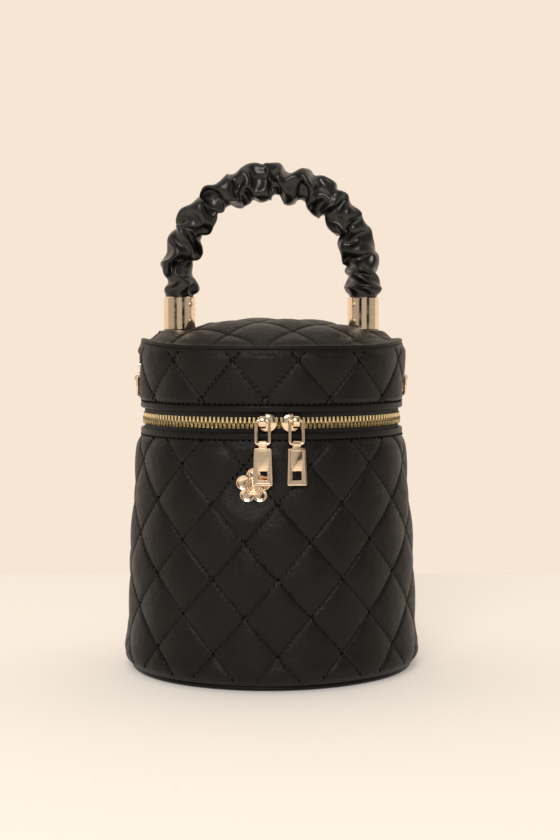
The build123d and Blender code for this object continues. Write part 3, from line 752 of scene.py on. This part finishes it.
def strap_arch(x_half, path, thick):
    """A flat strip of metal bent along a path in the YZ plane."""
    path = np.asarray(path, float)
    along = np.gradient(path, axis=0)
    along /= np.linalg.norm(along, axis=1)[:, None]
    out = np.stack([along[:, 1], -along[:, 0]], axis=1) * thick / 2
    half = ((-1, -0.5), (-0.8, -0.95), (0.8, -0.95), (1, -0.5))
    section = half + tuple((-across, -depth) for across, depth in half)
    rows = []
    for (y, z), (oy, oz) in zip(path, out):
        rows.append([(x_half * across, y + oy * depth, z + oz * depth) for across, depth in section])
    return lofted(rows)


def slider_shape(side):
    """A domed slider: front plate, crown, rear plate and the web between them."""
    front = turned_disc([(0.3, -1.15), (2.2, -1.05), (3.9, -0.75), (4.9, -0.35), (5.35, 0.1), (5.4, 0.4),
                         (5.1, 0.6)])
    rear = turned_disc([(0.3, 3.6), (4.1, 3.6), (4.5, 3.8), (4.5, 4.2), (4.1, 4.4), (0.3, 4.4)])
    arch = []
    for angle in np.linspace(math.radians(-8), math.radians(188), 26):
        arch.append((-0.6 - 3.95 * max(math.sin(angle), 0)**0.8, LINK_UP - 0.7 + 3.5 * math.cos(angle)))
    crown_points, crown_faces = strap_arch(1.8, arch, 0.9)
    crown = (crown_points + (side * CROWN_SHIFT, 0, 0), crown_faces)
    web_points, web_faces = turned_disc([(1.3, 0.5), (1.3, 3.7)], 16)
    web = (web_points * (1, 1, 0.16) + (-side * 2.6, 0, 0), web_faces)
    return joined([front, rear, crown, web])


def rounded_loop(half, length, radius, steps=7):
    """A rounded rectangle in the XZ plane, hanging from its top side."""
    path = []
    for x, z, begin in ((half, 0, 0), (-half, 0, 90), (-half, -length, 180), (half, -length, 270)):
        cx = x - math.copysign(radius, x)
        cz = z - radius if z == 0 else z + radius
        for step in range(steps):
            angle = math.radians(begin + 90 * step / (steps - 1))
            path.append((cx + radius * math.cos(angle), 0, cz + radius * math.sin(angle)))
    return path


def flat_shape(outline_points, holes, thickness, bevel):
    """A flat shape with holes in the XZ plane, with rounded edges."""
    curve = bpy.data.curves.new("flat", "CURVE")
    curve.dimensions = "2D"
    curve.fill_mode = "BOTH"
    curve.extrude = thickness / 2 - bevel
    curve.bevel_depth = bevel
    curve.bevel_resolution = 3
    for points in [outline_points, *holes]:
        spline = curve.splines.new("POLY")
        spline.points.add(len(points) - 1)
        for point, (x, z) in zip(spline.points, points):
            point.co = (x, z, 0, 1)
        spline.use_cyclic_u = True
    holder = add_object("flat", curve)
    bpy.context.view_layer.update()
    mesh = bpy.data.meshes.new_from_object(holder.evaluated_get(bpy.context.evaluated_depsgraph_get()))
    weld = bmesh.new()
    weld.from_mesh(mesh)
    bmesh.ops.remove_doubles(weld, verts=weld.verts, dist=0.001)
    weld.to_mesh(mesh)
    weld.free()
    points = np.array([(v.co.x, -v.co.z, v.co.y) for v in mesh.vertices])
    faces = [tuple(face.vertices) for face in mesh.polygons]
    bpy.data.objects.remove(holder)
    return points, faces


def rounded_polygon(corners, radius, steps=5):
    """A polygon whose corners are arcs."""
    points = []
    count = len(corners)
    for index, middle in enumerate(corners):
        middle = Vector(middle)
        before = (Vector(corners[index - 1]) - middle).normalized()
        after = (Vector(corners[(index + 1) % count]) - middle).normalized()
        half = before.angle(after) / 2
        centre = middle + (before + after).normalized() * radius / math.sin(half)
        start = middle + before * radius / math.tan(half) - centre
        stop = middle + after * radius / math.tan(half) - centre
        for step in range(steps):
            share = step / (steps - 1)
            arm = start.lerp(stop, share).normalized() * radius
            points.append(tuple(centre + arm))
    return points


def tab_shape():
    """A tapered tab with a raised border, a square window and a rolled eye."""
    top, end = -2.6, -22.6
    plate_outline = rounded_polygon([(-4.55, top), (-5.2, end), (5.2, end), (4.55, top)], 0.7)
    window = rounded_polygon([(-2.7, end + 2.5), (-2.7, end + 7.9), (2.7, end + 7.9), (2.7, end + 2.5)], 0.4)
    inner = rounded_polygon([(-3.35, top - 0.9), (-4.0, end + 1.1), (4.0, end + 1.1), (3.35, top - 0.9)], 0.4)
    plate = flat_shape(plate_outline, [window], 1.0, 0.2)
    border_points, border_faces = flat_shape(plate_outline, [inner], 0.7, 0.25)
    border = (border_points + (0, -0.55, 0), border_faces)
    neck_outline = rounded_polygon([(-2.1, 0.3), (-2.1, top - 1.2), (2.1, top - 1.2), (2.1, 0.3)], 0.3)
    neck = flat_shape(neck_outline, [], 1.3, 0.3)
    eye_rows = []
    for x, radius in ((-2.1, 1.2), (-2.1, 1.7), (-1.8, 1.95), (1.8, 1.95), (2.1, 1.7), (2.1, 1.2)):
        eye_rows.append(upright_ring(radius, x, 28)[:, [1, 0, 2]])
    eye = (np.concatenate(eye_rows), grid_faces(len(eye_rows), 28, close_rows=True))
    return joined([plate, border, neck, eye])


def pulls():
    """Both sliders with their wire links and flat tabs."""
    for side, word in ((-1, "left"), (1, "right")):
        place = on_front(side * SLIDER_REST / FRONT_RADIUS, 0, ZIP_Z)
        hang = (place @ Matrix.Translation((side * CROWN_SHIFT, -LINK_OUT, LINK_UP))
                @ Matrix.Rotation(-PULL_TILT, 4, "X"))
        low = hang @ Matrix.Translation((0, 0, -LINK_LENGTH))
        link = looped_tube(rounded_loop(LINK_HALF, LINK_LENGTH, 1.4), 0.88, 14)
        for name, (points, faces), at, body, node in (
                ("slider_head", slider_shape(side), place, f"slider_{word}_body", f"slider_{word}"),
                ("wire_link", link, hang, f"link_{word}", f"pull_link_{word}"),
                ("flat_tab", tab_shape(), low, f"tab_{word}", f"pull_tab_{word}")):
            piece = make_piece(f"{name}_{word}", moved(points, at), faces, GOLD, body, [node])
            if name == "flat_tab":
                keep_edges(piece)


def keep_edges(piece):
    """Shading that stays sharp at edges of more than 35 degrees."""
    piece.data.set_sharp_from_angle(angle=math.radians(35))


# ---- ornament ----
FLOWER_POINTS = 200
PETALS = 5
PETAL_R = 4.1
PETAL_OUT = 5.9


def flower_edge(angle, inset):
    """Distance from the flower's middle to its lobed edge."""
    part = 2 * math.pi / PETALS
    lean = (angle - math.pi / 2 + part / 2) % part - part / 2
    radius = PETAL_R - inset
    return PETAL_OUT * np.cos(lean) + np.sqrt(np.maximum(radius**2 - (PETAL_OUT * np.sin(lean))**2, 0.05))


def flower_ring(inset, share, depth):
    """A ring of the flower's outline, drawn in by inset and scaled by share."""
    return upright_ring(flower_edge(circle(FLOWER_POINTS), inset) * share, -depth, FLOWER_POINTS)


def flower():
    """A five-petal rosette: dished petals with a raised rim round stepped rings and a ball."""
    dish = lofted([flower_ring(inset, share, depth) for inset, share, depth in (
        (0.3, 1, 0.0), (0.0, 1, 0.35), (0.1, 1, 1.2), (0.45, 1, 1.5), (0.85, 1, 1.35), (1.1, 1, 0.75),
        (1.6, 1, 0.55), (1.6, 0.62, 0.6), (1.6, 0.3, 0.9))])
    steps = turned_disc([(0.1, -2.15), (1.2, -2.1), (2.2, -1.75), (2.9, -1.45), (3.9, -1.2), (4.6, -0.5)])
    bows = np.linspace(0.05, math.pi - 0.05, 14)
    ball = turned_disc([(1.35 * math.sin(a), -2.35 - 1.35 * math.cos(a)) for a in bows])
    rings = [looped_tube(upright_ring(radius, -depth, 48), thick, 12)
             for radius, thick, depth in ((4.5, 0.42, 1.15), (3.1, 0.42, 1.75), (2.0, 0.3, 2.2))]
    points, faces = joined([dish, steps, ball, *rings])
    turn = math.atan2(FLOWER.x, FRONT_CENTRE - FLOWER.y)
    slope = math.atan2(BASE_SPREAD, HEM_Z - WIDEST_Z)
    place = on_front(turn, flare(FLOWER.z), FLOWER.z) @ Matrix.Rotation(-slope, 4, "X")
    keep_edges(make_piece("flower_rosette", moved(points, place), faces, GOLD, "body",
                          ["flower_ornament"]))


# ---- handle ----
LEG = ARCH_SPRING - SLEEVE_START
SLEEVE_LENGTH = 2 * LEG + math.pi * ARCH_R
GATHER = 1.58               # length of the sleeve's cloth against the length of the handle
LOOSE = 1.24                # girth of the cloth against a snug sleeve
CORE_RADIUS = 6.9
WIDEST = 12.9               # the cloth stays between the core and this radius
SNUG_RADIUS = 9.0
START_RADIUS = 9.4
CLOTH_STEP = 2.5            # about the distance between points of the cloth
SEED = 11
STARTING_WRINKLES = 60
SETTLING_STEPS = 420


def arch_place(distance, angle, radius):
    """Points round the arch from distance along it, angle round it and radius."""
    turn = math.pi - np.clip((distance - LEG) / ARCH_R, 0, math.pi)
    drop = np.maximum(LEG - distance, 0) + np.maximum(distance - LEG - math.pi * ARCH_R, 0)
    out = ARCH_R + radius * np.cos(angle)
    height = ARCH_SPRING + out * np.sin(turn) - drop
    return np.stack([out * np.cos(turn), radius * np.sin(angle), height], axis=-1)


def arch_values(points):
    """The inverse of arch_place."""
    x, y, up = points[..., 0], points[..., 1], points[..., 2] - ARCH_SPRING
    turn = np.arctan2(np.maximum(up, 0), x)
    on_bend = LEG + (math.pi - turn) * ARCH_R
    on_leg = np.where(x < 0, LEG + up, LEG + math.pi * ARCH_R - up)
    distance = np.where(up > 0, on_bend, on_leg)
    out = np.where(up > 0, np.hypot(x, up), np.abs(x)) - ARCH_R
    return distance, np.arctan2(y, out), np.hypot(y, out)


def hold_apart(points, first, second, length, stiffness):
    """Moves pairs of points towards their rest distance."""
    gap = points[second] - points[first]
    size = np.linalg.norm(gap, axis=-1, keepdims=True) + 1e-9
    shift = gap * (0.5 * stiffness * (size - length) / size)
    points[first] += shift
    points[second] -= shift


def gathered_cloth():
    """A tube of cloth, too long and too wide for the handle, settled by position-based dynamics."""
    rows = int(SLEEVE_LENGTH * GATHER / CLOTH_STEP)
    girth = 2 * math.pi * SNUG_RADIUS * LOOSE
    columns = int(girth / CLOTH_STEP) // 2 * 2
    along, hoop = SLEEVE_LENGTH * GATHER / (rows - 1), girth / columns
    random = np.random.default_rng(SEED)
    distance, angle = np.meshgrid(np.linspace(0, SLEEVE_LENGTH, rows), circle(columns), indexing="ij")
    radius = np.full(distance.shape, START_RADIUS)
    for _ in range(STARTING_WRINKLES):
        pitch, lean, start = random.uniform(10.0, 18.0), random.integers(-2, 3), random.uniform(0, 6.28)
        middle = random.uniform(0, SLEEVE_LENGTH)
        share = np.exp(-((distance - middle) / 20.0)**2)
        radius += 0.75 * share * np.sin(2 * math.pi * distance / pitch + lean * angle + start)
    points = arch_place(distance, angle, radius)
    every = slice(None)
    diagonal = math.hypot(along, hoop)
    around = (np.arange(columns) + 1) % columns
    target = np.linspace(0, SLEEVE_LENGTH, rows)[:, None]
    for _ in range(SETTLING_STEPS):
        for start in (0, 1):
            low, high = slice(start, rows - 1, 2), slice(start + 1, rows, 2)
            hold_apart(points, (low, every), (high, every), along, 0.9)
        for start in (0, 1):
            low, high = np.arange(start, columns, 2), np.arange(start + 1, columns + 1, 2) % columns
            hold_apart(points, (every, low), (every, high), hoop, 0.6)
        for start in (0, 1):
            low, high = slice(start, rows - 1, 2), slice(start + 1, rows, 2)
            gap = points[high][:, around] - points[low]
            size = np.linalg.norm(gap, axis=-1, keepdims=True) + 1e-9
            points[low] += gap * (0.12 * (size - diagonal) / size)
        for reach, stiffness in ((2, 0.30), (3, 0.12)):
            for start in range(reach):
                low = np.arange(start, rows - reach, 2 * reach)
                hold_apart(points, (low, every), (low + reach, every), reach * along, stiffness)
        for start in (0, 1, 2, 3):
            low = np.arange(start, columns, 4)
            hold_apart(points, (every, low), (every, (low + 2) % columns), 2 * hoop * 0.985, 0.2)
        distance, angle, radius = arch_values(points)
        radius = np.clip(radius, CORE_RADIUS, WIDEST)
        distance = distance + 0.02 * (target - distance)
        distance = np.clip(np.maximum.accumulate(distance, axis=0), 0, SLEEVE_LENGTH)
        for row, size in ((0, 8.2), (1, 8.4), (rows - 2, 8.4), (rows - 1, 8.2)):
            distance[row] = target[row]
            radius[row] = size
        points = arch_place(distance, angle, radius)
    for _ in range(2):
        inside = points[1:-1]
        near = (points[2:] + points[:-2] + np.roll(inside, 1, 1) + np.roll(inside, -1, 1)) / 4
        points[1:-1] = 0.55 * inside + 0.45 * near
    distance, angle, radius = arch_values(points)
    spread = 0.06 * along * np.arange(rows)[:, None]
    distance = np.maximum.accumulate(distance - spread, axis=0) + spread
    distance = distance * (SLEEVE_LENGTH / distance[-1])
    return arch_place(distance, angle, radius), rows, columns


def ruched_sleeve():
    """The gathered cloth, subdivided and closed at both ends."""
    points, rows, columns = gathered_cloth()
    faces = grid_faces(rows, columns)
    piece = make_piece("ruched_sleeve", points.reshape(-1, 3), faces, GATHERED, None,
                       ["handle_sleeve"])
    rounder = piece.modifiers.new("rounder", "SUBSURF")
    rounder.levels = rounder.render_levels = 2
    bpy.context.view_layer.update()
    finished = bpy.data.meshes.new_from_object(piece.evaluated_get(bpy.context.evaluated_depsgraph_get()))
    piece.modifiers.clear()
    piece.data = finished
    closed = bmesh.new()
    closed.from_mesh(finished)
    bmesh.ops.holes_fill(closed, edges=[edge for edge in closed.edges if edge.is_boundary])
    bmesh.ops.recalc_face_normals(closed, faces=closed.faces)
    closed.to_mesh(finished)
    closed.free()
    finished.polygons.foreach_set("use_smooth", [True] * len(finished.polygons))
    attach(piece, "lid")


# ---- back hinge ----
def back_hinge():
    """One strip of leather sewn to both edges, creased on the hinge line."""
    half = corner("hinge_strip_lower", 1, 0)
    columns = 41
    x_values = np.linspace(-half, half, columns)
    turns = np.pi - np.arcsin(x_values / (FRONT_RADIUS - 1.4))
    turns = np.where(turns > np.pi, turns - 2 * np.pi, turns)
    heights = np.linspace(BODY_TOP - 8, LID_BOTTOM + 8, 33)
    layers = []
    for depth, levels, crease in ((-0.95, heights, 0.25), (-2.0, heights[::-1], -0.25)):
        for z in levels:
            x, y = outline(turns, depth - crease * math.exp(-((z - ZIP_Z) / 0.8)**2))
            layers.append(np.stack([x, y, np.full(columns, z)], axis=1))
    rows = len(layers)
    faces = grid_faces(rows, columns, close_rows=True, close_columns=False)
    faces.append(tuple(row * columns for row in range(rows)))
    faces.append(tuple(row * columns + columns - 1 for row in range(rows))[::-1])
    piece = make_piece("back_hinge_strip", np.concatenate(layers), faces, PLAIN, None,
                       ["hinge_strip_lower", "hinge_strip_upper"])
    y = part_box("hinge_strip_lower")[1].y
    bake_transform(piece)


# ---- CAD nodes that keep their shape ----
def paint_cad():
    """Gives every CAD node the material of its slot."""
    finishes = {
        "quilted_leather": QUILTED, "smooth_leather": PLAIN, "handle_leather": GATHERED,
        "gold_metal": GOLD, "zip_brass": ZIP_GOLD, "zip_tape": TAPE, "lining": LINING, "board": BOARD,
        "foam": FOAM, "steel": STEEL,
    }
    for entry in frame["record"]["subparts"]:
        node = frame["nodes"][entry["node"]]
        node.data.materials.clear()
        node.data.materials.append(finishes[entry["material_slot"]])


# ---- stage, light and camera ----
CAMERA_DISTANCE = 780.0
CAMERA_HEIGHT = 196.0
CAMERA_SIDE = math.radians(3.6)
CAMERA_DOWN = math.radians(3.63)
CAMERA_AIM = math.radians(0.36)
LENS = 37.142857
SENSOR_HEIGHT = 24.0
WALL_BEHIND = 290.0
WALL_COLOUR = (0.93, 0.79, 0.66)
FLOOR_COLOUR = (0.87, 0.82, 0.765)
FLOOR_GLOW = 0.28           # stands for the light that a large studio throws on it


def make_stage():
    """A pale floor that ends where the wall starts; the wall itself is the world's colour."""
    material, _, shader = new_material("floor_paint", FLOOR_COLOUR, 0.9)
    shader.inputs["Specular IOR Level"].default_value = 0.1
    shader.inputs["Emission Color"].default_value = (*FLOOR_COLOUR, 1)
    shader.inputs["Emission Strength"].default_value = FLOOR_GLOW
    wide = 6000.0
    front = np.array([-math.sin(CAMERA_SIDE), -math.cos(CAMERA_SIDE), 0])
    side = np.array([front[1], -front[0], 0])
    edge = -front * WALL_BEHIND
    near = edge + front * wide
    points = np.array([edge - side * wide, edge + side * wide, near + side * wide, near - side * wide])
    mesh = bpy.data.meshes.new("floor")
    mesh.from_pydata((points * MM).tolist(), [], [(0, 1, 2, 3)])
    mesh.materials.append(material)
    add_object("floor", mesh)


def area_light(name, place, aim, size, power, colour):
    """A rectangular lamp; place, aim and size are in metres."""
    data = bpy.data.lights.new(name, "AREA")
    data.shape = "RECTANGLE"
    data.size, data.size_y = size
    data.energy = power
    data.color = colour
    lamp = add_object(name, data)
    lamp.location = place
    lamp.rotation_euler = (Vector(aim) - Vector(place)).to_track_quat("-Z", "Y").to_euler()


def mix_colours(tree, share, first, second):
    """A node's colour output between two colours or sockets."""
    node = tree.nodes.new("ShaderNodeMixRGB")
    tree.links.new(share, node.inputs["Fac"])
    for key, value in (("Color1", first), ("Color2", second)):
        if isinstance(value, tuple):
            node.inputs[key].default_value = (*value, 1)
        else:
            tree.links.new(value, node.inputs[key])
    return node.outputs["Color"]


def share_between(tree, source, low, high):
    """How far a value is from low to high, as 0 to 1."""
    node = tree.nodes.new("ShaderNodeMapRange")
    node.inputs["From Min"].default_value = low
    node.inputs["From Max"].default_value = high
    tree.links.new(source, node.inputs["Value"])
    return node.outputs["Result"]


def make_light():
    """A pale wall behind; in front, softboxes with dark gaps between them, which the gold mirrors.

    Each level is a distance sideways, as a share of the way, and its brightness.
    """
    world = bpy.data.worlds.new("studio")
    bpy.context.scene.world = world
    world.use_nodes = True
    tree = world.node_tree
    direction = tree.nodes.new("ShaderNodeSeparateXYZ")
    tree.links.new(tree.nodes.new("ShaderNodeTexCoord").outputs["Generated"], direction.inputs[0])
    sideways = add_node(tree, "ShaderNodeMath", operation="ABSOLUTE")
    tree.links.new(direction.outputs["X"], sideways.inputs[0])
    boxes = tree.nodes.new("ShaderNodeValToRGB")
    levels = ((0.0, 0.5), (0.28, 0.46), (0.35, 0.01), (0.56, 0.016), (0.66, 0.38), (1.0, 0.46))
    while len(boxes.color_ramp.elements) < len(levels):
        boxes.color_ramp.elements.new(0.5)
    for stop, (position, value) in zip(boxes.color_ramp.elements, levels):
        stop.position = position
        stop.color = (value, value * 0.93, value * 0.85, 1)
    tree.links.new(sideways.outputs[0], boxes.inputs["Fac"])
    above = share_between(tree, direction.outputs["Z"], 0.35, 0.7)
    studio = mix_colours(tree, above, boxes.outputs["Color"], (0.22, 0.21, 0.19))
    behind = share_between(tree, direction.outputs["Y"], -0.05, 0.1)
    studio = mix_colours(tree, behind, studio, WALL_COLOUR)
    seen = tree.nodes.new("ShaderNodeLightPath").outputs["Is Camera Ray"]
    tree.links.new(mix_colours(tree, seen, studio, WALL_COLOUR), tree.nodes["Background"].inputs["Color"])
    area_light("key", (-0.3, -1.25, 0.98), (0, 0, 0.12), (0.75, 0.5), 9, (1.0, 0.97, 0.92))
    area_light("top", (0, 0.0, 1.7), (0, 0, 0.1), (1.4, 1.0), 3, (1.0, 0.97, 0.93))


def make_camera():
    """A camera a little to the left, looking slightly down."""
    data = bpy.data.cameras.new("camera")
    data.sensor_fit = "VERTICAL"
    data.sensor_height = SENSOR_HEIGHT
    data.lens = LENS
    camera = add_object("camera", data)
    reach = CAMERA_DISTANCE * MM
    camera.location = (-reach * math.sin(CAMERA_SIDE), -reach * math.cos(CAMERA_SIDE), CAMERA_HEIGHT * MM)
    camera.rotation_euler = (math.pi / 2 - CAMERA_DOWN, 0, -CAMERA_SIDE - CAMERA_AIM)
    data.clip_start = 0.02
    bpy.context.scene.camera = camera


bpy.context.scene.view_settings.view_transform = "Standard"
make_camera()
make_stage()
make_light()
paint_cad()
body_leather()
body_stitches()
rims()
lid_band()
lid_top()
zip_rows()
pulls()
flower()
ruched_sleeve()
back_hinge()
